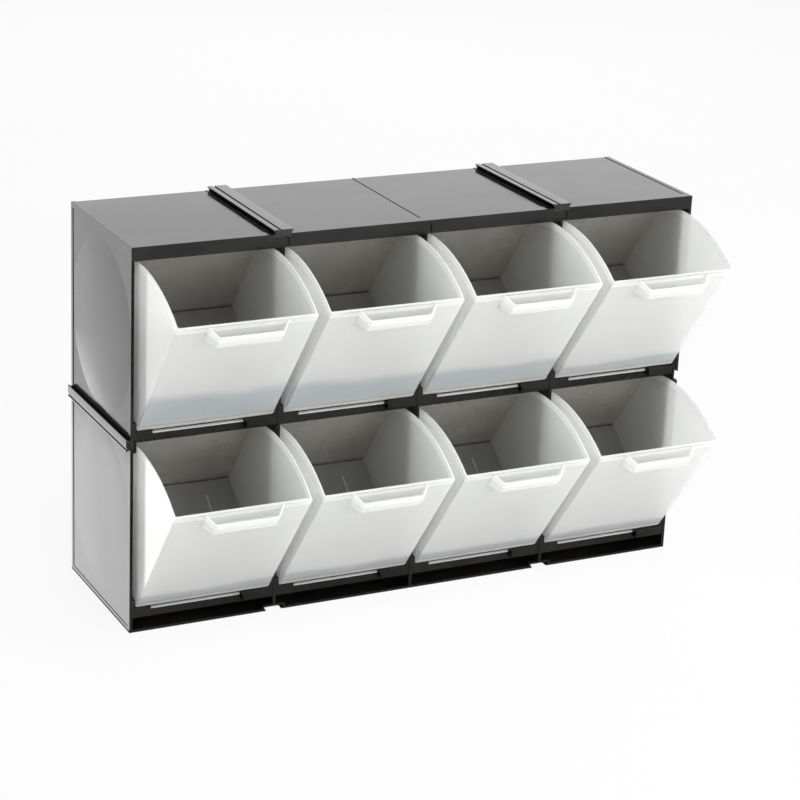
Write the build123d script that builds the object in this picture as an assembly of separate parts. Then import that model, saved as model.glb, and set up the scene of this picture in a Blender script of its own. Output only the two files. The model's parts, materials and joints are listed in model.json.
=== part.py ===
from build123d import *
from math import cos, radians, sin, sqrt
import os

os.makedirs("parts", exist_ok=True)

# Parts cabinet with tilting bins. One black moulded frame has two rows of
# four cells, and is written here as its walls, one file for each. A clear bin
# hangs in each cell on two pins near its lower front edge and tips forward to
# open. Loose strips with two dovetail edges slide into slots of the frame and
# join one cabinet to the next.
# The origin is the centre of the base, +X to the right, +Y to the back, +Z up.
# Every length is in millimetres and every angle in degrees.

# Cells and rows
columns = 4
rows = 2
cell_width = 146.25
opening_height = 166.0
plinth_height = 24.6
band_height = 14.0
top_band_height = 13.4
cabinet_depth = 166.0

# Walls of the frame
side_wall = 3.0
divider_wall = 3.0
top_wall = 3.0
bottom_wall = 2.5
back_wall = 3.0
shelf_wall = 3.0
flange_wall = 3.0

# Bins
bin_side_gap = 4.6
bin_depth = 130.0
bin_front_wall = 3.2
bin_side_wall = 1.5
bin_back_wall = 1.5
bin_floor_wall = 1.7
bin_corner_radius = 2.0
bin_front_gap = 0.4
bin_floor_gap = 0.4
rim_clearance = 2.3
open_angle = 37.3

# Hinge pins on the bins and bosses on the frame
pivot_inset = 3.3
pin_radius = 2.2
pin_clearance = 0.05
boss_gap = 1.2
boss_depth = 10.0
boss_height = 8.5
pin_end_gap = 0.4
sill_block_height = 10.0
sill_block_recess = 0.8

# Tab under the front of each bin, which stops it when it is open
tab_width = 93.5
tab_offset = -6.0
tab_wall = 1.6
tab_inset = 1.0
tab_drop = 6.2
tab_bead = 1.2
tab_side_gap = 1.0
stop_gap = 0.15

# Finger pull on the front of each bin, a cup that is open at its top
pull_reach = 12.8
pull_root_width = 80.0
pull_lip_width = 63.0
pull_root_drop = 19.0
pull_lip_drop = 15.0
pull_lip_step = 0.9
pull_wall = 2.0

# Short rib on the floor of each bin
rib_width = 1.6
rib_height = 1.2
rib_length = 34.0
rib_back_gap = 18.0
rib_offset = 38.0

# Dovetail connector strips and their slots
top_strip_lip = 20.0
top_strip_waist = 16.0
side_strip_lip = 12.0
side_strip_waist = 9.0
strip_reach = 4.0
strip_lip_edge = 0.8
strip_clearance = 0.15
strip_end_inset = 0.5
groove_width = 2.2
groove_depth = 0.9
groove_offset = 3.4
slot_web = 2.0
slot_shoulder = 2.0

# Shallow panels and pockets moulded in the outside of the frame
panel_depth = 0.5
panel_front_rim = 10.0
panel_edge_rim = 5.0
panel_crease = 3.0
pocket_width = 12.0
pocket_height = 8.0
pocket_depth = 1.5

# Sizes that follow from the ones above
cell_pitch = cell_width + divider_wall
row_pitch = opening_height + band_height
cabinet_width = 2 * side_wall + columns * cell_pitch - divider_wall
cabinet_height = plinth_height + rows * row_pitch - band_height + top_band_height
front = -cabinet_depth / 2
back = cabinet_depth / 2
left = -cabinet_width / 2
right = cabinet_width / 2

bin_width = cell_width - 2 * bin_side_gap
pivot_y = front + bin_front_gap + pivot_inset
pivot_rise = bin_floor_gap + pivot_inset
rim_radius = opening_height - pivot_rise - rim_clearance
rim_top = pivot_inset + sqrt(rim_radius**2 - pivot_inset**2)
boss_reach = bin_side_gap - boss_gap
pin_length = bin_side_gap - pin_end_gap

tab_back = tab_inset + tab_wall - pivot_inset
tab_low = -tab_drop - pivot_inset
tab_swing = tab_back * cos(radians(open_angle)) - tab_low * sin(radians(open_angle))
flange_setback = bin_front_gap + pivot_inset + tab_swing + stop_gap
flange_back = front + flange_setback + flange_wall
tab_room = tab_width / 2 + tab_side_gap

slot_depth = strip_reach + strip_clearance
housing_depth = slot_depth + slot_web
cut = 1.0
row_names = ("lower", "upper")


def corner_box(x_low, x_high, y_low, y_high, z_low, z_high):
    """A box between two opposite corners."""
    middle = ((x_low + x_high) / 2, (y_low + y_high) / 2, (z_low + z_high) / 2)
    return Pos(*middle) * Box(x_high - x_low, y_high - y_low, z_high - z_low)


def cell_left(column):
    """Left side of a cell, counted from the left."""
    return left + side_wall + column * cell_pitch


def cell_middle(column):
    """Middle of a cell across its width."""
    return cell_left(column) + cell_width / 2


def divider_middle(number):
    """Middle of the wall on the right of a cell."""
    return cell_left(number) + cell_width + divider_wall / 2


def opening_bottom(row):
    """Height of the sill of a row, counted from the bottom."""
    return plinth_height + row * row_pitch


def cells():
    """Every cell as column and row."""
    return [(column, row) for row in range(rows) for column in range(columns)]


# Frame


def cell_cavity(column, row):
    """Open space of one cell, with the room behind its front bands."""
    x_low = cell_left(column)
    x_high = x_low + cell_width
    sill = opening_bottom(row)
    lintel = sill + opening_height
    space = corner_box(x_low, x_high, front - cut, back - back_wall, sill, lintel)
    if row == rows - 1:
        pocket_front = front + flange_wall
        pocket_top = cabinet_height - top_wall
    else:
        pocket_front = flange_back
        pocket_top = opening_bottom(row + 1) - shelf_wall
    return space + corner_box(x_low, x_high, pocket_front, back - back_wall, lintel - cut, pocket_top)


def plinth_cavity(column):
    """Space under the lowest shelf, open to the front."""
    x_low = cell_left(column)
    x_high = x_low + cell_width
    sill = opening_bottom(0)
    space = corner_box(x_low, x_high, front - cut, back - back_wall, bottom_wall, sill - band_height)
    return space + corner_box(
        x_low, x_high, flange_back, back - back_wall, bottom_wall, sill - shelf_wall
    )


def sill_recess(column, row):
    """Space in front of the sill flange, between and under the two end blocks."""
    x_low = cell_left(column)
    x_high = x_low + cell_width
    sill = opening_bottom(row)
    face = front + flange_setback
    tab_middle = cell_middle(column) + tab_offset
    between = corner_box(
        tab_middle - tab_room, tab_middle + tab_room, front - cut, face, sill - band_height, sill
    )
    under = corner_box(x_low, x_high, front - cut, face, sill - band_height, sill - sill_block_height)
    ahead = corner_box(x_low, x_high, front - cut, front + sill_block_recess, sill - band_height, sill)
    return between + under + ahead


def boss_block(column, row, side):
    """Square block of a boss on a cell wall; side is -1 or 1."""
    wall_x = cell_middle(column) + side * cell_width / 2
    inner_x = wall_x - side * boss_reach
    sill = opening_bottom(row)
    return corner_box(
        min(wall_x, inner_x), max(wall_x, inner_x), front + sill_block_recess, front + boss_depth,
        sill, sill + boss_height,
    )


def hinge_boss(column, row, side):
    """Boss that holds one hinge pin, rounded along its top."""
    boss = boss_block(column, row, side)
    upper_edges = boss.edges().filter_by(Axis.X).group_by(Axis.Z)[-1]
    return fillet(upper_edges, min(boss_depth, boss_height) / 4)


def pin_socket(column, row, side):
    """Blind hole in a boss, as deep as the boss stands proud."""
    wall_x = cell_middle(column) + side * cell_width / 2
    middle_x = wall_x - side * boss_reach / 2
    socket = Cylinder(pin_radius + pin_clearance, boss_reach, rotation=(0, 90, 0))
    return Pos(middle_x, pivot_y, opening_bottom(row) + pivot_rise) * socket


def dovetail_half(waist, lip, reach, grow):
    """Outline of one half of a strip, narrow at zero and wide at its reach."""
    half_waist = waist / 2 + grow
    half_lip = lip / 2 + grow
    shoulder = reach - strip_lip_edge
    return Polyline(
        (-half_waist, 0), (half_waist, 0), (half_lip, shoulder), (half_lip, reach),
        (-half_lip, reach), (-half_lip, shoulder), close=True,
    )


def dovetail_bar(waist, lip, reach, grow, length):
    """One half of a strip along +Y, rising from zero along +Z, centred on Y."""
    face = make_face(Plane.XZ * dovetail_half(waist, lip, reach, grow))
    return Pos(0, length / 2, 0) * extrude(face, length)


def slot_cutter(waist, lip):
    """Dovetail slot that points up from the surface it is cut into."""
    groove = dovetail_bar(waist, lip, slot_depth, strip_clearance, cabinet_depth + 2 * cut)
    mouth = Box(waist + 2 * strip_clearance, cabinet_depth + 2 * cut, cut)
    return groove + Pos(0, 0, -cut / 2) * mouth


def slot_housing(lip):
    """Thicker wall that a slot is cut into, upward from the surface."""
    width = lip + 2 * strip_clearance + 2 * slot_shoulder
    return Pos(0, 0, housing_depth / 2) * Box(width, cabinet_depth, housing_depth)


def slot_places():
    """Where the slots lie and how each is turned, for each wall that has them."""
    outer_dividers = (divider_middle(0), divider_middle(columns - 2))
    middle_z = cabinet_height / 2
    return {
        "frame_base": [Pos(x, 0, 0) for x in outer_dividers],
        "frame_top": [Pos(x, 0, cabinet_height) * Rot(Y=180) for x in outer_dividers],
        "frame_side_left": [Pos(left, 0, middle_z) * Rot(Y=90)],
        "frame_side_right": [Pos(right, 0, middle_z) * Rot(Y=-90)],
    }


def slot_section(wall):
    """Waist and lip of the slots in a wall."""
    if wall in ("frame_base", "frame_top"):
        return top_strip_waist, top_strip_lip
    return side_strip_waist, side_strip_lip


def slot_housings(wall):
    """The thicker strips of one wall around its slots."""
    waist, lip = slot_section(wall)
    return [place * slot_housing(lip) for place in slot_places()[wall]]


def slot_cutters(wall):
    """The slots of one wall."""
    waist, lip = slot_section(wall)
    return [place * slot_cutter(waist, lip) for place in slot_places()[wall]]


def top_panels():
    """Shallow panels in the top, between the strips, open to the back."""
    half_housing = top_strip_lip / 2 + slot_shoulder
    first = divider_middle(0)
    last = divider_middle(columns - 2)
    spans = (
        (left + panel_edge_rim, first - half_housing),
        (first + half_housing, -panel_crease / 2),
        (panel_crease / 2, last - half_housing),
        (last + half_housing, right - panel_edge_rim),
    )
    z_low = cabinet_height - panel_depth
    return [
        corner_box(x_low, x_high, front + panel_front_rim, back + cut, z_low, cabinet_height + cut)
        for x_low, x_high in spans
    ]


def side_panels():
    """Shallow panels in both sides, above and below the side slot."""
    half_housing = side_strip_lip / 2 + slot_shoulder
    middle_z = cabinet_height / 2
    spans = (
        (panel_edge_rim, middle_z - half_housing),
        (middle_z + half_housing, cabinet_height - panel_edge_rim),
    )
    y_low = front + panel_edge_rim
    y_high = back - panel_edge_rim
    panels = []
    for z_low, z_high in spans:
        panels.append(corner_box(left - cut, left + panel_depth, y_low, y_high, z_low, z_high))
        panels.append(corner_box(right - panel_depth, right + cut, y_low, y_high, z_low, z_high))
    return panels


def band_pockets():
    """Small pockets in the top band in front of each divider."""
    middle_z = cabinet_height - top_band_height / 2 - panel_depth
    return [
        corner_box(
            divider_middle(number) - pocket_width / 2, divider_middle(number) + pocket_width / 2,
            front - cut, front + pocket_depth,
            middle_z - pocket_height / 2, middle_z + pocket_height / 2,
        )
        for number in range(columns - 1)
    ]


def whole_frame():
    """The frame in one, with its cells, bosses and dovetail slots."""
    body = corner_box(left, right, front, back, 0, cabinet_height)
    body -= [cell_cavity(column, row) for column, row in cells()]
    body -= [plinth_cavity(column) for column in range(columns)]
    body -= [sill_recess(column, row) for column, row in cells()]
    sides = (-1, 1)
    body += [hinge_boss(column, row, side) for column, row in cells() for side in sides]
    body += [housing for wall in slot_places() for housing in slot_housings(wall)]
    body -= [pin_socket(column, row, side) for column, row in cells() for side in sides]
    body -= [slot for wall in slot_places() for slot in slot_cutters(wall)]
    body -= top_panels() + side_panels() + band_pockets()
    return body


def side_zone(wall, x_low, x_high, column, side):
    """Room of an outer side wall with its slot housing and its bosses."""
    zone = corner_box(x_low, x_high, front - cut, back + cut, -cut, cabinet_height + cut)
    zone += [boss_block(column, row, side) for row in range(rows)]
    return zone + slot_housings(wall)


def top_zone():
    """Room of the top wall, the band along its front and its slot housings."""
    zone = corner_box(
        left, right, front - cut, back + cut, cabinet_height - top_wall, cabinet_height + cut
    )
    band_bottom = cabinet_height - top_band_height
    zone += corner_box(left, right, front - cut, front + flange_wall, band_bottom, cabinet_height)
    return zone + slot_housings("frame_top")


def base_zone():
    """Room of the bottom wall and the low ribs that carry the first shelf."""
    sill = opening_bottom(0)
    inner_back = back - back_wall
    zone = corner_box(left, right, front - cut, back + cut, -cut, bottom_wall)
    zone += corner_box(left, right, front - cut, inner_back, 0, sill - band_height)
    zone += corner_box(left, right, flange_back, inner_back, 0, sill - shelf_wall)
    return zone + slot_housings("frame_base")


def shelf_zone(row):
    """Room of a shelf with its sill flange and sill blocks."""
    sill = opening_bottom(row)
    zone = corner_box(left, right, front - cut, flange_back, sill - band_height, sill)
    return zone + corner_box(left, right, flange_back, back - back_wall, sill - shelf_wall, sill)


def divider_zone(number, row):
    """Room from the middle of one cell to the middle of the next."""
    return corner_box(
        cell_middle(number), cell_middle(number + 1), front - cut, back - back_wall,
        opening_bottom(row), opening_bottom(row) + row_pitch,
    )


def frame_walls():
    """The frame taken apart into its walls, which meet face to face."""
    zones = {
        "frame_side_left": side_zone("frame_side_left", left - cut, left + side_wall, 0, -1),
        "frame_side_right": side_zone("frame_side_right", right - side_wall, right + cut, columns - 1, 1),
        "frame_top": top_zone(),
        "frame_base": base_zone(),
    }
    for row in range(rows):
        zones[f"frame_shelf_{row_names[row]}"] = shelf_zone(row)
    for row in range(rows):
        for number in range(columns - 1):
            zones[f"frame_divider_{row_names[row]}_{number + 1}"] = divider_zone(number, row)
    rest = whole_frame()
    walls = {}
    for name, zone in zones.items():
        walls[name] = rest & zone
        rest -= zone
    walls["frame_back"] = rest
    return walls


# Connector strips


def connector_strip(waist, lip):
    """Strip with a dovetail edge on both faces and a groove along each."""
    length = cabinet_depth - 2 * strip_end_inset
    half = dovetail_bar(waist, lip, strip_reach, 0, length)
    groove = Pos(-groove_offset, 0, strip_reach) * Box(groove_width, length, 2 * groove_depth)
    half -= groove
    return half + Rot(Y=180) * half


# Bins, modelled shut with the lower front corner at zero


def bin_outline(front_y, back_y, floor_z, radius, front_radius):
    """Side outline of a bin: flat front, floor and back, and a curved rim."""
    centre = (pivot_inset, pivot_inset)
    rise_front = pivot_inset + sqrt(radius**2 - (front_y - pivot_inset) ** 2)
    rise_back = pivot_inset + sqrt(radius**2 - (back_y - pivot_inset) ** 2)
    middle_angle = radians(60)
    rim_middle = (centre[0] + radius * cos(middle_angle), centre[1] + radius * sin(middle_angle))
    bend = front_radius * (1 - sin(radians(45)))
    outline = (
        Line((front_y, rise_front), (front_y, floor_z + front_radius))
        + ThreePointArc(
            (front_y, floor_z + front_radius),
            (front_y + bend, floor_z + bend),
            (front_y + front_radius, floor_z),
        )
        + Line((front_y + front_radius, floor_z), (back_y, floor_z))
        + Line((back_y, floor_z), (back_y, rise_back))
        + ThreePointArc((back_y, rise_back), rim_middle, (front_y, rise_front))
    )
    return make_face(Plane.YZ * outline)


def bin_shell():
    """Front, floor, sides and back of a bin, open along its curved rim."""
    outer_face = bin_outline(0, bin_depth, 0, rim_radius, pivot_inset)
    outer = Pos(-bin_width / 2, 0, 0) * extrude(outer_face, bin_width)
    long_edges = outer.edges().filter_by(Axis.Z).group_by(Axis.Y)[0]
    outer = fillet(long_edges, bin_corner_radius / 2)
    inner_width = bin_width - 2 * bin_side_wall
    inner_face = bin_outline(
        bin_front_wall, bin_depth - bin_back_wall, bin_floor_wall, rim_radius + cut, bin_corner_radius
    )
    inner = Pos(-inner_width / 2, 0, 0) * extrude(inner_face, inner_width)
    return outer - inner


def bin_tab():
    """Tab with a bead along its lower edge, under the front of the floor."""
    x_low = tab_offset - tab_width / 2
    x_high = tab_offset + tab_width / 2
    sheet = corner_box(x_low, x_high, tab_inset, tab_inset + tab_wall, -tab_drop, pivot_inset / 2)
    bead = corner_box(
        x_low, x_high, tab_inset - tab_bead / 2, tab_inset + tab_wall, -tab_drop, -tab_drop + tab_bead
    )
    return sheet + bead


def pull_form(inset, top):
    """Slanted block of the pull below the rim, or the room inside its walls."""
    slant = (pull_root_width - pull_lip_width) / (2 * pull_reach)
    reach = pull_reach - inset
    half_root = pull_root_width / 2 - inset
    half_lip = half_root - slant * reach
    plan = make_face(Polyline(
        (-half_root, 0), (-half_lip, -reach), (half_lip, -reach), (half_root, 0), close=True,
    ))
    side = make_face(Plane.YZ * Polyline(
        (0, inset - pull_root_drop), (0, top), (-pull_reach, top - pull_lip_step),
        (-pull_reach, inset - pull_lip_drop), close=True,
    ))
    envelope = Pos(-pull_root_width / 2, 0, 0) * extrude(side, pull_root_width)
    return Pos(0, 0, -pull_root_drop) * extrude(plan, pull_root_drop + top) & envelope


def bin_pull():
    """Cup under the rim with a lip, a sloped floor and two slanted cheeks."""
    return Pos(0, 0, rim_top) * (pull_form(0, 0) - pull_form(pull_wall, cut))


def bin_pins():
    """Hinge pins that stand out of both sides near the lower front edge."""
    span = bin_width + 2 * pin_length
    pins = Cylinder(pin_radius, span, rotation=(0, 90, 0)) - Box(bin_width - bin_side_wall, span, span)
    return Pos(0, pivot_inset, pivot_inset) * pins


def bin_rib():
    """Short low rib on the right of the floor, near the back."""
    y_high = bin_depth - bin_back_wall - rib_back_gap
    return corner_box(
        rib_offset - rib_width / 2, rib_offset + rib_width / 2, y_high - rib_length, y_high,
        bin_floor_wall / 2, bin_floor_wall + rib_height,
    )


def tilting_bin():
    """One bin, shut, with its lower front corner at zero."""
    return bin_shell() + bin_tab() + bin_pull() + bin_pins() + bin_rib()


def bin_place(column, row):
    """Place of a bin that has tipped forward about its pins."""
    pivot = Pos(cell_middle(column), pivot_y, opening_bottom(row) + pivot_rise)
    return pivot * Rot(X=open_angle) * Pos(0, -pivot_inset, -pivot_inset)


# Write one file for each piece

for name, wall in frame_walls().items():
    export_step(wall, f"parts/{name}.step")

top_strip = connector_strip(top_strip_waist, top_strip_lip)
side_strip = connector_strip(side_strip_waist, side_strip_lip)
strips = {
    "connector_strip_top_left": Pos(divider_middle(0), 0, cabinet_height) * top_strip,
    "connector_strip_top_right": Pos(divider_middle(columns - 2), 0, cabinet_height) * top_strip,
    "connector_strip_side": Pos(left, 0, cabinet_height / 2) * Rot(Y=-90) * side_strip,
}
for name, strip in strips.items():
    export_step(strip, f"parts/{name}.step")

shut_bin = tilting_bin()
for column, row in cells():
    name = f"bin_{row_names[row]}_{column + 1}"
    export_step(bin_place(column, row) * shut_bin, f"parts/{name}.step")
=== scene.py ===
import json
from math import atan2, pi, radians, sqrt

import bmesh
import bpy
from mathutils import Matrix, Vector


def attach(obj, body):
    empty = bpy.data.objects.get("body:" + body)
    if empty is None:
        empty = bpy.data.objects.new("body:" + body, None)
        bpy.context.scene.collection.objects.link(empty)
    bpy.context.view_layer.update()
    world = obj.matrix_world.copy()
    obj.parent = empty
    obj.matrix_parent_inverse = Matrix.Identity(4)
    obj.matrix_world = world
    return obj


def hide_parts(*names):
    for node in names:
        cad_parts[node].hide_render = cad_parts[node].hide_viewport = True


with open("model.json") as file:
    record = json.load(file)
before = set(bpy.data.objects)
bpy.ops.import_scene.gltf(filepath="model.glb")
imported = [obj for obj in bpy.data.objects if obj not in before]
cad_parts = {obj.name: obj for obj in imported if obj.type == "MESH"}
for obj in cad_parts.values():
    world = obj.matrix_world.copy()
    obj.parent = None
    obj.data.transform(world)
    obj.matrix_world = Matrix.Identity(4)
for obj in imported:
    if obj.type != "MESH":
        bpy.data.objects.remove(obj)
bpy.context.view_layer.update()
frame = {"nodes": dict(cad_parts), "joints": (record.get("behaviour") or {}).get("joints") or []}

mm = 0.001
joints = frame["joints"]
wallNodes = [name for name in frame["nodes"] if name.startswith("frame_")]
stripNodes = [name for name in frame["nodes"] if name.startswith("connector_strip")]
print("frame loaded:", len(frame["nodes"]), "nodes")


# helpers that every piece uses

edgeAngles = {"rounded": 32, "creased": 40}  # degrees


def linked(name, data):  # a new object in the scene
    piece = bpy.data.objects.new(name, data)
    bpy.context.scene.collection.objects.link(piece)
    return piece


def newPiece(bm, name):
    bmesh.ops.recalc_face_normals(bm, faces=bm.faces)
    mesh = bpy.data.meshes.new(name)
    bm.to_mesh(mesh)
    bm.free()
    return linked(name, mesh)


def edited(piece, change):  # a bmesh change made on the piece's own mesh
    bm = bmesh.new()
    bm.from_mesh(piece.data)
    change(bm)
    bm.to_mesh(piece.data)
    bm.free()
    return piece


def applied(piece):  # modifiers become part of the mesh
    seen = piece.evaluated_get(bpy.context.evaluated_depsgraph_get())
    mesh = bpy.data.meshes.new_from_object(seen)
    old = piece.data
    piece.modifiers.clear()
    piece.data = mesh
    bpy.data.meshes.remove(old)
    return piece


def combined(piece, tool, operation):
    boolean = piece.modifiers.new("join", "BOOLEAN")
    boolean.operation = operation
    boolean.solver = "EXACT"
    boolean.object = tool
    applied(piece)
    bpy.data.objects.remove(tool)
    return piece


def tidied(piece, mergeGap=0.002 * mm, flatAngle=0.4):  # flat faces become one face each
    def change(bm):
        bmesh.ops.remove_doubles(bm, verts=bm.verts, dist=mergeGap)
        bmesh.ops.dissolve_limit(bm, angle_limit=radians(flatAngle), verts=bm.verts, edges=bm.edges)

    return edited(piece, change)


def merged(piece, mergeGap=0.004 * mm):  # takes out the zero-length edges that a bevel leaves
    def change(bm):
        bmesh.ops.remove_doubles(bm, verts=bm.verts, dist=mergeGap)
        bmesh.ops.dissolve_degenerate(bm, dist=mergeGap, edges=bm.edges)

    return edited(piece, change)


def roundedEdges(piece, width, segments, clamped=True):
    bevel = piece.modifiers.new("edges", "BEVEL")
    bevel.width = width
    bevel.segments = segments
    bevel.limit_method = "ANGLE"
    bevel.angle_limit = radians(edgeAngles["rounded"])
    bevel.use_clamp_overlap = clamped
    merged(applied(piece))
    piece.data.shade_smooth()
    piece.data.set_sharp_from_angle(angle=radians(edgeAngles["creased"]))
    evened = piece.modifiers.new("normals", "WEIGHTED_NORMAL")  # keeps the flat faces flat
    evened.keep_sharp = True
    evened.weight = 100
    return applied(piece)


def pulledAlong(bm, along):  # the flat face becomes a solid
    pulled = bmesh.ops.extrude_face_region(bm, geom=bm.faces[:])["geom"]
    bmesh.ops.translate(bm, vec=along, verts=[v for v in pulled if isinstance(v, bmesh.types.BMVert)])


def prism(name, outline, along):
    bm = bmesh.new()
    for point in outline:
        bm.verts.new(point)
    bmesh.ops.contextual_create(bm, geom=bm.verts[:])
    pulledAlong(bm, along)
    return newPiece(bm, name)


def block(name, low, high):
    bm = bmesh.new()
    size = Vector(high) - Vector(low)
    middle = (Vector(high) + Vector(low)) / 2
    placed = Matrix.Translation(middle) @ Matrix.Diagonal((*size, 1.0))
    bmesh.ops.create_cube(bm, size=1.0, matrix=placed)
    return newPiece(bm, name)


# helpers for materials

noiseSpan = (0.3, 0.7)  # a noise seldom leaves this span


def newMaterial(name):
    material = bpy.data.materials.new(name)
    material.use_nodes = True
    tree = material.node_tree
    return material, tree, tree.nodes["Principled BSDF"]


def feed(tree, socket, value):  # sets a number or a colour, and links anything else
    if isinstance(value, (int, float)):
        socket.default_value = value
    elif isinstance(value, tuple):
        socket.default_value = (*value, 1)
    else:
        tree.links.new(value, socket)


def objectPlace(tree):
    return tree.nodes.new("ShaderNodeTexCoord").outputs["Object"]


def axesOf(tree, vector):
    node = tree.nodes.new("ShaderNodeSeparateXYZ")
    tree.links.new(vector, node.inputs["Vector"])
    return node.outputs


def attributeOf(tree, name, output):
    node = tree.nodes.new("ShaderNodeAttribute")
    node.attribute_name = name
    return node.outputs[output]


def noiseOf(tree, vector, scale, detail=2.0, roughness=0.5, distortion=0.0):
    noise = tree.nodes.new("ShaderNodeTexNoise")
    noise.inputs["Scale"].default_value = scale
    noise.inputs["Detail"].default_value = detail
    noise.inputs["Roughness"].default_value = roughness
    noise.inputs["Distortion"].default_value = distortion
    tree.links.new(vector, noise.inputs["Vector"])
    return noise.outputs["Fac"]


def ranged(tree, value, fromSpan, toLow, toHigh, smooth=False):
    node = tree.nodes.new("ShaderNodeMapRange")
    node.interpolation_type = "SMOOTHSTEP" if smooth else "LINEAR"
    numbers = (*fromSpan, toLow, toHigh)
    for label, number in zip(("From Min", "From Max", "To Min", "To Max"), numbers):
        node.inputs[label].default_value = number
    tree.links.new(value, node.inputs["Value"])
    return node.outputs["Result"]


def calculated(tree, operation, *values, clamp=False):
    node = tree.nodes.new("ShaderNodeMath")
    node.operation = operation
    node.use_clamp = clamp
    for socket, value in zip(node.inputs, values):
        feed(tree, socket, value)
    return node.outputs["Value"]


def blendedColour(tree, factor, first, second):
    node = tree.nodes.new("ShaderNodeMix")
    node.data_type = "RGBA"
    for label, value in (("Factor", factor), ("A", first), ("B", second)):
        feed(tree, node.inputs[label], value)
    return node.outputs["Result"]


def blendedShader(tree, factor, first, second):
    node = tree.nodes.new("ShaderNodeMixShader")
    for socket, value in zip(node.inputs, (factor, first, second)):
        feed(tree, socket, value)
    return node.outputs["Shader"]


def bumpFrom(tree, height, distance, before=None):
    node = tree.nodes.new("ShaderNodeBump")
    node.inputs["Distance"].default_value = distance
    node.inputs["Strength"].default_value = 1.0
    tree.links.new(height, node.inputs["Height"])
    if before is not None:
        tree.links.new(before, node.inputs["Normal"])
    return node.outputs["Normal"]


# glossy black moulding of the frame, slightly wavy as thin walls are

frameFinish = {
    "dark": (0.0040, 0.0037, 0.0034),
    "light": (0.0092, 0.0085, 0.0079),
    "cloudScale": 14.0,
    "cloudSpan": (0.35, 0.7),
    "smearScale": 42.0,
    "smoothest": 0.10,
    "roughest": 0.19,
    "waveScale": 5.0,
    "waveHeight": 1.3 * mm,
    "grainScale": 700.0,
    "grainHeight": 0.012 * mm,
    "ior": 1.26,
}
stripFinish = {**frameFinish, "waveHeight": 0.1 * mm, "smoothest": 0.1, "roughest": 0.2, "ior": 1.36}
bowSizes = {
    "height": 1.8 * mm,
    "depthSpan": (-85.0 * mm, 80.0 * mm),
    "halves": ((16.0 * mm, 184.0 * mm), (202.0 * mm, 370.0 * mm)),
    "sideSpan": (-299.2 * mm, -298.8 * mm),
    "shareSpan": (190.0 * mm, 200.0 * mm),
    "lowerShare": 0.25,
}


def sideBow(tree, place, bow):  # each half of the left side bows out in an oval
    axes = axesOf(tree, place)
    across = ranged(tree, axes["Y"], bow["depthSpan"], -1.0, 1.0)
    halves = []
    for half in bow["halves"]:
        upright = ranged(tree, axes["Z"], half, -1.0, 1.0)
        halves.append(calculated(tree, "MULTIPLY", upright, upright))
    nearest = calculated(tree, "MINIMUM", *halves)
    oval = calculated(tree, "ADD", calculated(tree, "MULTIPLY", across, across), nearest)
    rise = ranged(tree, oval, (0.0, 1.0), 1.0, 0.0)
    onSide = ranged(tree, axes["X"], bow["sideSpan"], 1.0, 0.0)
    share = ranged(tree, axes["Z"], bow["shareSpan"], bow["lowerShare"], 1.0)
    return calculated(tree, "MULTIPLY", calculated(tree, "MULTIPLY", rise, onSide), share)


def blackPlastic(name, finish, bow=None):
    material, tree, shader = newMaterial(name)
    place = objectPlace(tree)
    cloud = noiseOf(tree, place, finish["cloudScale"], detail=4.0, roughness=0.6)
    smear = noiseOf(tree, place, finish["smearScale"], detail=6.0, roughness=0.65, distortion=0.6)
    lightness = ranged(tree, cloud, finish["cloudSpan"], 0.0, 1.0)
    colour = blendedColour(tree, lightness, finish["dark"], finish["light"])
    feed(tree, shader.inputs["Base Color"], colour)
    rough = ranged(tree, smear, noiseSpan, finish["smoothest"], finish["roughest"])
    feed(tree, shader.inputs["Roughness"], rough)
    wave = noiseOf(tree, place, finish["waveScale"], detail=1.0)
    grain = noiseOf(tree, place, finish["grainScale"])
    normal = bumpFrom(tree, wave, finish["waveHeight"])
    if bow:
        normal = bumpFrom(tree, sideBow(tree, place, bow), bow["height"], before=normal)
    normal = bumpFrom(tree, grain, finish["grainHeight"], before=normal)
    feed(tree, shader.inputs["Normal"], normal)
    shader.inputs["IOR"].default_value = finish["ior"]
    return material


frameBlack = blackPlastic("frameBlack", frameFinish, bowSizes)
stripBlack = blackPlastic("stripBlack", stripFinish)
print("black plastics made")


# frame: its walls fused into the one moulding that they are, with softened edges

frameEdges = {"width": 0.45 * mm, "segments": 2}
stripEdges = {"width": 0.3 * mm, "segments": 2}


def cadCopy(node, name, mergeGap=0.001 * mm):
    mesh = frame["nodes"][node].data.copy()
    mesh.materials.clear()
    piece = linked(name, mesh)
    return edited(piece, lambda bm: bmesh.ops.remove_doubles(bm, verts=bm.verts, dist=mergeGap))


def moulding(name, nodes, body, material, edges):
    piece = cadCopy(nodes[0], name)
    for node in nodes[1:]:
        combined(piece, cadCopy(node, "part"), "UNION")
    tidied(piece)
    roundedEdges(piece, edges["width"], edges["segments"])
    piece.data.materials.clear()
    piece.data.materials.append(material)
    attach(piece, body)
    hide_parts(*nodes)
    return piece


frameShell = moulding("frame_moulding", wallNodes, "cabinet", frameBlack, frameEdges)
print("frame fused:", len(frameShell.data.polygons), "faces")

for node in stripNodes:
    moulding(f"{node}_bar", [node], "cabinet", stripBlack, stripEdges)
print("strips made:", len(stripNodes))


# bins, made shut with the lower front corner at zero and then tipped open

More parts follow.
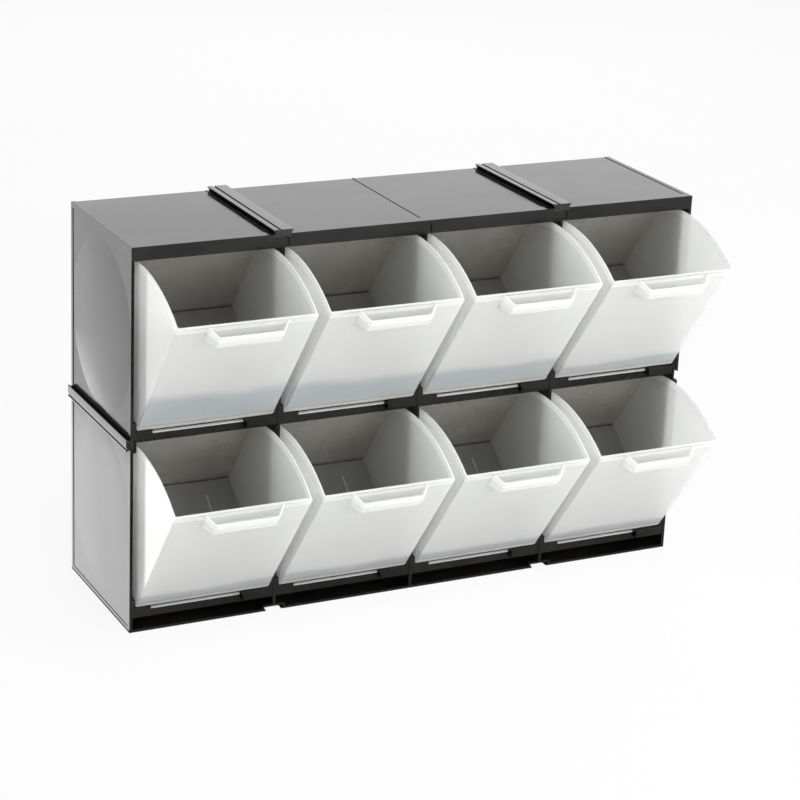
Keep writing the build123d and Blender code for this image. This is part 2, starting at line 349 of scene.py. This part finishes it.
binSizes = {
    "width": 137.05 * mm,
    "depth": 130.0 * mm,
    "frontWall": 3.2 * mm,
    "sideWall": 1.5 * mm,
    "backWall": 1.5 * mm,
    "floorWall": 1.7 * mm,
    "rimRadius": 160.0 * mm,
    "rimSteps": 28,
    "pivotInset": 3.3 * mm,
    "innerHeel": 2.0 * mm,
    "heelSteps": 6,
    "frontCorner": 1.0 * mm,
    "innerCorner": 1.6 * mm,
    "cornerSteps": 4,
    "hollowRise": 3.0 * mm,
    "edgeWidth": 0.4 * mm,
    "edgeSegments": 2,
}
innerBack = binSizes["depth"] - binSizes["backWall"]
tabSizes = {
    "width": 93.5 * mm,
    "offset": -6.0 * mm,
    "wall": 1.6 * mm,
    "inset": 1.0 * mm,
    "drop": 6.2 * mm,
    "bead": 1.2 * mm,
}
pullSizes = {
    "reach": 12.8 * mm,
    "rootWidth": 80.0 * mm,
    "lipWidth": 63.0 * mm,
    "rootDrop": 19.0 * mm,
    "lipDrop": 15.0 * mm,
    "lipStep": 0.9 * mm,
    "wall": 2.0 * mm,
    "sunk": 0.6 * mm,
    "hollowRise": 2.0 * mm,
    "outerRound": 1.6 * mm,
    "innerRound": 1.2 * mm,
}
pinSizes = {"radius": 2.2 * mm, "length": 4.2 * mm, "sides": 32}
ribSizes = {
    "width": 1.6 * mm,
    "height": 1.2 * mm,
    "length": 34.0 * mm,
    "backGap": 18.0 * mm,
    "offset": 38.0 * mm,
}


def sideBlock(name, frontY, backY, floorZ, radius, halfWidth, heel):
    inset = binSizes["pivotInset"]
    bm = bmesh.new()
    backTop = bm.verts.new((-halfWidth, backY, inset + sqrt(radius**2 - (backY - inset) ** 2)))
    startAngle = atan2(backTop.co.z - inset, backY - inset)
    endAngle = atan2(sqrt(radius**2 - (frontY - inset) ** 2), frontY - inset)
    rim = bmesh.ops.spin(
        bm, geom=[backTop], cent=(-halfWidth, inset, inset), axis=(1, 0, 0),
        angle=endAngle - startAngle, steps=binSizes["rimSteps"],
    )
    frontTop = rim["geom_last"][0]
    frontLow = bm.verts.new((-halfWidth, frontY, floorZ))
    backLow = bm.verts.new((-halfWidth, backY, floorZ))
    for first, second in ((frontTop, frontLow), (frontLow, backLow), (backLow, backTop)):
        bm.edges.new((first, second))
    bmesh.ops.contextual_create(bm, geom=bm.edges[:])
    bmesh.ops.bevel(
        bm, geom=[frontLow], offset=heel, offset_type="OFFSET", segments=binSizes["heelSteps"],
        profile=0.5, affect="VERTICES", material=-1,
    )
    pulledAlong(bm, (2 * halfWidth, 0, 0))
    return newPiece(bm, name)


def roundUprights(piece, atY, offset, nearY=0.05 * mm, nearX=0.01 * mm):
    def change(bm):
        uprights = [
            edge for edge in bm.edges
            if all(abs(v.co.y - atY) < nearY for v in edge.verts)
            and abs(edge.verts[0].co.x - edge.verts[1].co.x) < nearX
        ]
        bmesh.ops.bevel(
            bm, geom=uprights, offset=offset, segments=binSizes["cornerSteps"],
            profile=0.5, affect="EDGES", material=-1,
        )

    return edited(piece, change)


def pullForm(name, rimTop, inset, top, rounding):  # the cup's outside, or the room in it
    sizes = pullSizes
    slant = (sizes["rootWidth"] - sizes["lipWidth"]) / (2 * sizes["reach"])
    reach = sizes["reach"] - inset
    halfRoot = sizes["rootWidth"] / 2 - inset
    halfLip = halfRoot - slant * reach
    sunk = sizes["sunk"] if inset == 0 else 0.0
    lowZ = rimTop - sizes["rootDrop"]
    plan = [
        (-halfRoot - slant * sunk, sunk, lowZ), (-halfLip, -reach, lowZ),
        (halfLip, -reach, lowZ), (halfRoot + slant * sunk, sunk, lowZ),
    ]
    piece = prism(name, plan, (0, 0, sizes["rootDrop"] + top))
    roundUprights(piece, -reach, rounding)
    side = [
        (-sizes["rootWidth"], sunk, rimTop + inset - sizes["rootDrop"]),
        (-sizes["rootWidth"], sunk, rimTop + top),
        (-sizes["rootWidth"], 0, rimTop + top),
        (-sizes["rootWidth"], -sizes["reach"], rimTop + top - sizes["lipStep"]),
        (-sizes["rootWidth"], -sizes["reach"], rimTop + inset - sizes["lipDrop"]),
        (-sizes["rootWidth"], 0, rimTop + inset - sizes["rootDrop"]),
    ]
    if sunk == 0:
        side = side[2:]
    return combined(piece, prism("side", side, (2 * sizes["rootWidth"], 0, 0)), "INTERSECT")


def pullPiece(rimTop):
    sizes = pullSizes
    piece = pullForm("pull", rimTop, 0, 0, sizes["outerRound"])
    hollow = pullForm("hollow", rimTop, sizes["wall"], sizes["hollowRise"], sizes["innerRound"])
    return combined(piece, hollow, "DIFFERENCE")


def pinPiece(side):
    inset = binSizes["pivotInset"]
    start = binSizes["width"] / 2 - binSizes["sideWall"] / 2
    length = binSizes["width"] / 2 + pinSizes["length"] - start
    bm = bmesh.new()
    turn = Matrix.Rotation(pi / 2, 4, "Y")
    middle = Matrix.Translation((side * (start + length / 2), inset, inset))
    bmesh.ops.create_cone(
        bm, cap_ends=True, segments=pinSizes["sides"], radius1=pinSizes["radius"],
        radius2=pinSizes["radius"], depth=length, matrix=middle @ turn,
    )
    return newPiece(bm, "pin")


def smallBlocks():  # the lowest and highest corners of the tab, its bead and the floor's rib
    sizes, tab, rib = binSizes, tabSizes, ribSizes
    tabLeft, tabRight = tab["offset"] - tab["width"] / 2, tab["offset"] + tab["width"] / 2
    ribLeft, ribRight = rib["offset"] - rib["width"] / 2, rib["offset"] + rib["width"] / 2
    ribEnd = innerBack - rib["backGap"]
    return {
        "tab": (
            (tabLeft, tab["inset"], -tab["drop"]),
            (tabRight, tab["inset"] + tab["wall"], sizes["pivotInset"] / 2)),
        "bead": (
            (tabLeft, tab["inset"] - tab["bead"] / 2, -tab["drop"]),
            (tabRight, tab["inset"] + tab["wall"] / 2, -tab["drop"] + tab["bead"])),
        "rib": (
            (ribLeft, ribEnd - rib["length"], sizes["floorWall"] / 2),
            (ribRight, ribEnd, sizes["floorWall"] + rib["height"])),
    }


def shutBin():
    sizes = binSizes
    inset = sizes["pivotInset"]
    half = sizes["width"] / 2
    rimTop = inset + sqrt(sizes["rimRadius"] ** 2 - inset**2)
    piece = sideBlock("bin", 0.0, sizes["depth"], 0.0, sizes["rimRadius"], half, inset)
    roundUprights(piece, 0.0, sizes["frontCorner"])
    hollow = sideBlock(
        "hollow", sizes["frontWall"], innerBack, sizes["floorWall"],
        sizes["rimRadius"] + sizes["hollowRise"], half - sizes["sideWall"], sizes["innerHeel"],
    )
    for atY in (sizes["frontWall"], innerBack):
        roundUprights(hollow, atY, sizes["innerCorner"])
    combined(piece, hollow, "DIFFERENCE")
    combined(piece, pullPiece(rimTop), "UNION")
    for name, (low, high) in smallBlocks().items():
        combined(piece, block(name, low, high), "UNION")
    for side in (-1, 1):
        combined(piece, pinPiece(side), "UNION")
    tidied(piece)
    # unclamped, because a clamp would stop at the pins' short edges
    roundedEdges(piece, sizes["edgeWidth"], sizes["edgeSegments"], clamped=False)
    spots = piece.data.attributes.new("binPlace", "FLOAT_VECTOR", "POINT")
    for vertex, value in zip(piece.data.vertices, spots.data):
        value.vector = vertex.co
    return piece


# milky clear plastic of the bins, frosted on the front

binFinish = {
    "white": (0.93, 0.93, 0.92),
    "shade": (0.87, 0.875, 0.87),
    "heel": (0.86, 0.84, 0.79),
    "deep": (0.90, 0.86, 0.79),
    # painted shade: the low colour and the four values after it darken the foot of each front
    "low": (0.60, 0.64, 0.67),
    "paintedShadeShare": 0.8,
    "paintedShadeSpan": (0.7, 1.0),
    "paintedShadeWander": 0.12,
    "paintedShadeScale": 9.0,
    "tint": (0.94, 0.95, 0.94),
    "glow": 0.56,
    "cloudScale": 11.0,
    "streakScale": 30.0,
    "smoothest": 0.3,
    "roughest": 0.36,
    "glossRough": 0.12,
    "shineLeast": 0.045,
    "shineMore": 0.55,
    "shinePower": 4.0,
    "slantPower": 3.0,
}
binMilk = {  # how milky each part is, and what the rim, edge, heel, clouds and slant add
    "pull": 0.5,
    "front": 0.54,
    "wall": 0.6,
    "floor": 0.1,
    "back": 0.22,
    "tab": 0.3,
    # a real ridge, with a painted highlight in its near-opaque white
    "bead": 0.95,
    "rim": 0.16,
    "edge": -0.08,
    "heel": 0.12,
    "cloud": 0.04,
    "slant": 0.3,
}
binZones = {  # what each zone is measured along, and where it starts and ends in the shut bin
    "pull": ("depth", -1.0 * mm, -0.4 * mm),
    "front": ("depth", 3.4 * mm, 4.0 * mm),
    "wall": ("depth", 3.0 * mm, 6.0 * mm),
    "deep": ("depth", 100.0 * mm, innerBack),
    "back": ("depth", innerBack - 1.5 * mm, innerBack),
    "bead": ("height", -4.9 * mm, -4.6 * mm),
    "tab": ("height", -0.8 * mm, 0.0),
    "floor": ("height", 1.2 * mm, 2.2 * mm),
    "heel": ("height", 6.4 * mm, 7.6 * mm),
    "rim": ("radius", binSizes["rimRadius"] - 7.0 * mm, binSizes["rimRadius"] - 5.8 * mm),
    "edge": ("radius", binSizes["rimRadius"] - 1.0 * mm, binSizes["rimRadius"] - 0.4 * mm),
}
paintedShadeTops = {  # how high the painted shade low on each front reaches
    "bin_upper_1": 60.0 * mm,
    "bin_upper_2": 54.0 * mm,
    "bin_upper_3": 46.0 * mm,
    "others": 24.0 * mm,
}


def binSpot(tree):  # depth, height and distance from the hinge, all in the shut bin
    axes = axesOf(tree, attributeOf(tree, "binPlace", "Vector"))
    squares = []
    for axis in ("Y", "Z"):
        leg = calculated(tree, "SUBTRACT", axes[axis], binSizes["pivotInset"])
        squares.append(calculated(tree, "MULTIPLY", leg, leg))
    radius = calculated(tree, "SQRT", calculated(tree, "ADD", *squares))
    return {"depth": axes["Y"], "height": axes["Z"], "radius": radius}


def zoned(tree, spot, zone, before, after, smooth=False):  # one value before the zone, one after it
    along, start, end = binZones[zone]
    return ranged(tree, spot[along], (start, end), before, after, smooth)


def paintedShadePatch(tree, place, spot):  # painted shade: a darker foot of the front, with a wandering top
    finish = binFinish
    share = calculated(tree, "DIVIDE", spot["height"], attributeOf(tree, "paintedShadeTop", "Fac"))
    noise = noiseOf(tree, place, finish["paintedShadeScale"], detail=1.0)
    wander = ranged(tree, noise, noiseSpan, -finish["paintedShadeWander"], finish["paintedShadeWander"])
    upPatch = calculated(tree, "ADD", share, wander)
    return ranged(tree, upPatch, finish["paintedShadeSpan"], finish["paintedShadeShare"], 0.0, smooth=True)


def milkiness(tree, spot, cloud, heel, bead):
    milk = binMilk
    total = zoned(tree, spot, "wall", milk["front"], milk["wall"], smooth=True)
    parts = (
        zoned(tree, spot, "pull", milk["pull"] - milk["front"], 0.0),
        zoned(tree, spot, "floor", milk["floor"] - milk["wall"], 0.0),
        zoned(tree, spot, "back", 0.0, milk["back"] - milk["wall"]),
        zoned(tree, spot, "rim", 0.0, milk["rim"], smooth=True),
        zoned(tree, spot, "edge", 0.0, milk["edge"]),
        zoned(tree, spot, "tab", milk["tab"] - milk["front"], 0.0),
        calculated(tree, "MULTIPLY", bead, milk["bead"] - milk["tab"]),
        ranged(tree, cloud, noiseSpan, -milk["cloud"], milk["cloud"]),
        calculated(tree, "MULTIPLY", heel, milk["heel"]),
    )
    for part in parts:
        total = calculated(tree, "ADD", total, part)
    return total


def milkyPlastic(name, finish):
    material, tree, shader = newMaterial(name)
    place = objectPlace(tree)
    spot = binSpot(tree)
    cloud = noiseOf(tree, place, finish["cloudScale"], detail=3.0, roughness=0.55)
    streak = noiseOf(tree, place, finish["streakScale"])
    onFront = zoned(tree, spot, "front", 1.0, 0.0)
    heel = calculated(tree, "MULTIPLY", zoned(tree, spot, "heel", 1.0, 0.0, smooth=True), onFront)
    # painted shade low on the front
    low = calculated(tree, "MULTIPLY", paintedShadePatch(tree, place, spot), onFront)
    # painted highlight: the bead, a real ridge, is made near-opaque white
    bead = zoned(tree, spot, "bead", 1.0, 0.0)
    deep = zoned(tree, spot, "deep", 0.0, 1.0)
    cloudy = ranged(tree, cloud, noiseSpan, 0.0, 1.0)
    colour = blendedColour(tree, cloudy, finish["white"], finish["shade"])
    # the low share laid on here is painted shade
    for share, shade in ((low, "low"), (heel, "heel"), (bead, "white"), (deep, "deep")):
        colour = blendedColour(tree, share, colour, finish[shade])
    feed(tree, shader.inputs["Base Color"], colour)
    rough = ranged(tree, streak, noiseSpan, finish["smoothest"], finish["roughest"])
    feed(tree, shader.inputs["Roughness"], rough)
    shader.inputs["Specular IOR Level"].default_value = 0.0

    weight = tree.nodes.new("ShaderNodeLayerWeight")
    weight.inputs["Blend"].default_value = 0.5
    facing = weight.outputs["Facing"]
    slant = calculated(tree, "POWER", facing, finish["slantPower"])
    slant = calculated(tree, "MULTIPLY", slant, binMilk["slant"])
    milk = calculated(tree, "ADD", milkiness(tree, spot, cloud, heel, bead), slant, clamp=True)

    glow = tree.nodes.new("ShaderNodeBsdfTranslucent")
    feed(tree, glow.inputs["Color"], colour)
    body = blendedShader(tree, finish["glow"], shader.outputs["BSDF"], glow.outputs["BSDF"])
    clear = tree.nodes.new("ShaderNodeBsdfTransparent")
    feed(tree, clear.inputs["Color"], finish["tint"])
    wall = blendedShader(tree, milk, clear.outputs["BSDF"], body)

    gloss = tree.nodes.new("ShaderNodeBsdfGlossy")
    gloss.inputs["Roughness"].default_value = finish["glossRough"]
    inside = tree.nodes.new("ShaderNodeNewGeometry").outputs["Backfacing"]
    outside = calculated(tree, "SUBTRACT", 1.0, inside)
    shine = calculated(tree, "POWER", facing, finish["shinePower"])
    shine = calculated(tree, "MULTIPLY_ADD", shine, finish["shineMore"], finish["shineLeast"])
    shine = calculated(tree, "MULTIPLY", shine, outside, clamp=True)
    coated = blendedShader(tree, shine, wall, gloss.outputs["BSDF"])
    feed(tree, tree.nodes["Material Output"].inputs["Surface"], coated)
    return material


binClear = milkyPlastic("binClear", binFinish)
print("milky plastic made")

pattern = shutBin()
print("bin made:", len(pattern.data.polygons), "faces")
toHinge = Matrix.Translation((0, -binSizes["pivotInset"], -binSizes["pivotInset"]))
for joint in joints:
    node = joint["child"]
    openAngle = radians(-joint["range_deg"][0])
    tipped = Matrix.Translation(joint["pos_m"]) @ Matrix.Rotation(openAngle, 4, "X")
    mesh = pattern.data.copy()
    mesh.transform(tipped @ toHinge)
    mesh.materials.append(binClear)
    # each bin's own height for the painted shade on its front
    shadeTopLayer = mesh.attributes.new("paintedShadeTop", "FLOAT", "POINT")
    paintedShadeTop = paintedShadeTops.get(node, paintedShadeTops["others"])
    shadeTopLayer.data.foreach_set("value", [paintedShadeTop] * len(mesh.vertices))
    tippedBin = linked(f"{node}_moulding", mesh)
    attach(tippedBin, node)
    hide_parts(node)
bpy.data.objects.remove(pattern)
print("bins placed:", len(joints))


# floor and world, white to the camera

floorLook = {
    "size": 14.0,
    "colour": (0.68, 0.68, 0.68),
    "blurScale": 3.0,
    "smoothest": 0.5,
    "roughest": 0.7,
    "whiteShare": 0.9,
    "mirroredSpan": (-0.3, 0.6),  # along Y, where the white starts to show in gloss
    "mirroredLeast": 0.1,
}
worldLook = {"colour": (1.0, 1.0, 1.0), "strength": 0.5}


def paleFloor(look):
    bm = bmesh.new()
    bmesh.ops.create_grid(bm, x_segments=2, y_segments=2, size=look["size"] / 2)
    floor = newPiece(bm, "floor")
    material, tree, shader = newMaterial("paleFloor")
    place = objectPlace(tree)
    feed(tree, shader.inputs["Base Color"], look["colour"])
    blur = noiseOf(tree, place, look["blurScale"])
    rough = ranged(tree, blur, noiseSpan, look["smoothest"], look["roughest"])
    feed(tree, shader.inputs["Roughness"], rough)
    white = tree.nodes.new("ShaderNodeEmission")
    path = tree.nodes.new("ShaderNodeLightPath")
    depth = axesOf(tree, place)["Y"]
    behind = ranged(tree, depth, look["mirroredSpan"], look["mirroredLeast"], 1.0, smooth=True)
    mirrored = calculated(tree, "MULTIPLY", path.outputs["Is Glossy Ray"], behind)
    seen = calculated(tree, "MAXIMUM", path.outputs["Is Camera Ray"], mirrored)
    seen = calculated(tree, "MAXIMUM", seen, path.outputs["Is Transmission Ray"])
    whiteShare = calculated(tree, "MULTIPLY", seen, look["whiteShare"])
    surface = blendedShader(tree, whiteShare, shader.outputs["BSDF"], white.outputs["Emission"])
    feed(tree, tree.nodes["Material Output"].inputs["Surface"], surface)
    floor.data.materials.append(material)


def plainWorld(look):
    world = bpy.data.worlds.new("studio")
    bpy.context.scene.world = world
    world.use_nodes = True
    tree = world.node_tree
    light = tree.nodes["Background"]
    feed(tree, light.inputs["Color"], look["colour"])
    light.inputs["Strength"].default_value = look["strength"]
    seen = tree.nodes.new("ShaderNodeLightPath").outputs["Is Camera Ray"]
    white = tree.nodes.new("ShaderNodeBackground")
    surface = blendedShader(tree, seen, light.outputs["Background"], white.outputs["Background"])
    feed(tree, tree.nodes["World Output"].inputs["Surface"], surface)


paleFloor(floorLook)
plainWorld(worldLook)
print("floor and world ready")


# lamps: soft panels round the cabinet, and two on the floor that its left side mirrors

lampValues = {
    "front": {"place": (0.25, -2.5, 0.68), "aim": (0.0, 0.0, 0.3), "size": (2.4, 1.3), "power": 74.0},
    "left": {"place": (-2.4, -0.6, 1.0), "aim": (0.0, 0.0, 0.2), "size": (1.4, 1.4), "power": 6.5},
    "right": {"place": (2.2, -1.3, 1.0), "aim": (0.0, 0.0, 0.2), "size": (1.4, 1.4), "power": 38.0},
    "overhead": {"place": (0.2, -0.9, 2.4), "aim": (0.0, -0.5, 0.0), "size": (2.2, 1.8), "power": 18.0},
    "behind": {"place": (1.2, 2.6, 1.3), "aim": (0.1, 0.0, 0.35), "size": (2.2, 1.8), "power": 17.6},
    "lowLeft": {"place": (-0.378, 0.35, 0.002), "aim": None, "size": (0.166, 0.86), "power": 1.3},
    "farLeft": {"place": (-1.03, 0.95, 0.002), "aim": None, "size": (1.138, 1.3), "power": 5.8},
}
for name, lamp in lampValues.items():
    data = bpy.data.lights.new(name, "AREA")
    data.shape = "RECTANGLE"
    data.size, data.size_y = lamp["size"]
    data.energy = lamp["power"]
    lampObject = linked(f"lamp_{name}", data)
    lampObject.location = lamp["place"]
    if lamp["aim"] is None:  # lies on the floor and shines up
        lampObject.rotation_euler = (pi, 0, 0)
    else:
        ahead = Vector(lamp["aim"]) - Vector(lamp["place"])
        lampObject.rotation_euler = ahead.to_track_quat("-Z", "Y").to_euler()
    lampObject.visible_camera = False
print("lamps placed:", len(lampValues))


# camera where the photograph was taken from

cameraView = {
    "place": (-1.0704, -2.1416, 1.0314),
    "ahead": (0.42775, 0.83866, -0.33718),
    "roll": 2.542,  # degrees
    "lens": 112.98,
    "sensor": 36.0,
}
camera = linked("camera", bpy.data.cameras.new("camera"))
camera.data.lens = cameraView["lens"]
camera.data.sensor_width = cameraView["sensor"]
turned = Vector(cameraView["ahead"]).to_track_quat("-Z", "Y").to_matrix().to_4x4()
rolled = Matrix.Rotation(radians(cameraView["roll"]), 4, "Z")
camera.matrix_world = Matrix.Translation(cameraView["place"]) @ turned @ rolled
bpy.context.scene.camera = camera
bpy.context.scene.view_settings.view_transform = "Standard"
print("camera ready")
